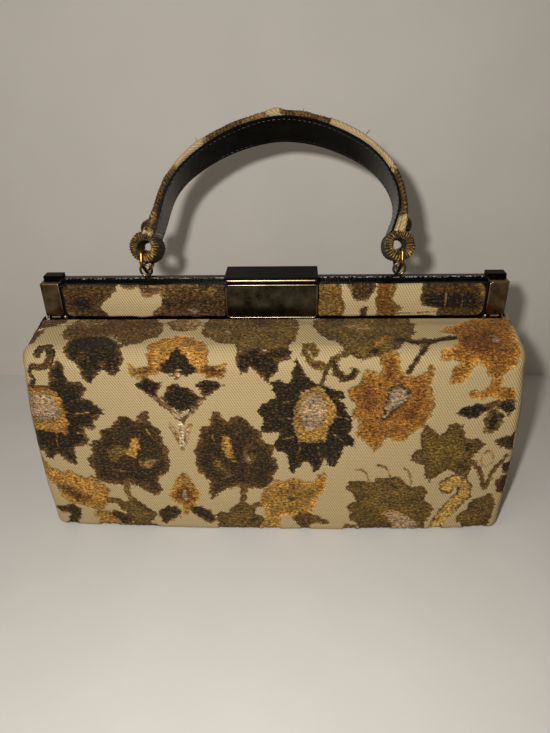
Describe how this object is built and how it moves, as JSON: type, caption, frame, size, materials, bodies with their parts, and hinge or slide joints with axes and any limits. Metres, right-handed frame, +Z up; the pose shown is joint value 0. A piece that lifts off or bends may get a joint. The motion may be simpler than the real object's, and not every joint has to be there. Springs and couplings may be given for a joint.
{
  "type": "carpet bag",
  "caption": "Small box-shaped carpet bag of flowered cut-velvet tapestry with a hinged leather-covered frame, a clasp lid and an arched handle on wire links.",
  "frame": {"origin": "centre of the flat base, on the floor", "axes": "+X to the bag's right seen from the front, +Y to the back, +Z up; the frame's seam is at Y 0"},
  "size_m": [0.3032, 0.1121, 0.2609],
  "materials": {
    "tapestry": "cut-velvet pile on a twill ground",
    "lining_cloth": "satin",
    "stiff_board": "matte",
    "black_leather": "semi-gloss",
    "frame_steel": "plain",
    "antiqued_brass": "polished, aged",
    "plain_brass": "satin",
    "gold_wire": "polished"
  },
  "bodies": {
    "root": {"tapestry_body": "tapestry", "front_shoulder": "tapestry", "base_board": "stiff_board", "lining": "lining_cloth", "rear_rail": "frame_steel", "rear_cover": "black_leather", "rear_facing": "black_leather", "rear_cap_left": "antiqued_brass", "rear_cap_right": "antiqued_brass", "rear_pad": "tapestry", "latch_bracket": "plain_brass", "latch_pin": "plain_brass", "hinge_pin_left": "plain_brass", "hinge_pin_right": "plain_brass", "eyelet_left": "gold_wire", "eyelet_right": "gold_wire"},
    "front_frame": {"front_rail": "frame_steel", "front_cover": "black_leather", "front_facing": "black_leather", "front_cap_left": "antiqued_brass", "front_cap_right": "antiqued_brass", "front_pad_left": "tapestry", "front_pad_right": "tapestry", "clasp_plate": "antiqued_brass", "clasp_keeper": "plain_brass"},
    "latch": {"latch_lid": "antiqued_brass"},
    "handle": {"handle_strap": "tapestry", "handle_lining": "black_leather", "link_left": "gold_wire", "link_right": "gold_wire", "handle_rivet_left": "gold_wire", "handle_rivet_right": "gold_wire"}
  },
  "joints": [
    {"name": "front_frame_open", "type": "hinge", "parent": "root", "child": "front_frame", "pos_m": [0, 0, 0.1405], "axis": [1, 0, 0], "range_deg": [0, 70], "deforming": ["front_shoulder"]},
    {"name": "latch_lift", "type": "hinge", "parent": "root", "child": "latch", "pos_m": [0, 0.007, 0.1688], "axis": [-1, 0, 0], "range_deg": [0, 90]},
    {"name": "handle_swing", "type": "hinge", "parent": "root", "child": "handle", "pos_m": [0, 0.0033, 0.1714], "axis": [1, 0, 0], "range_deg": [0, 54]}
  ]
}
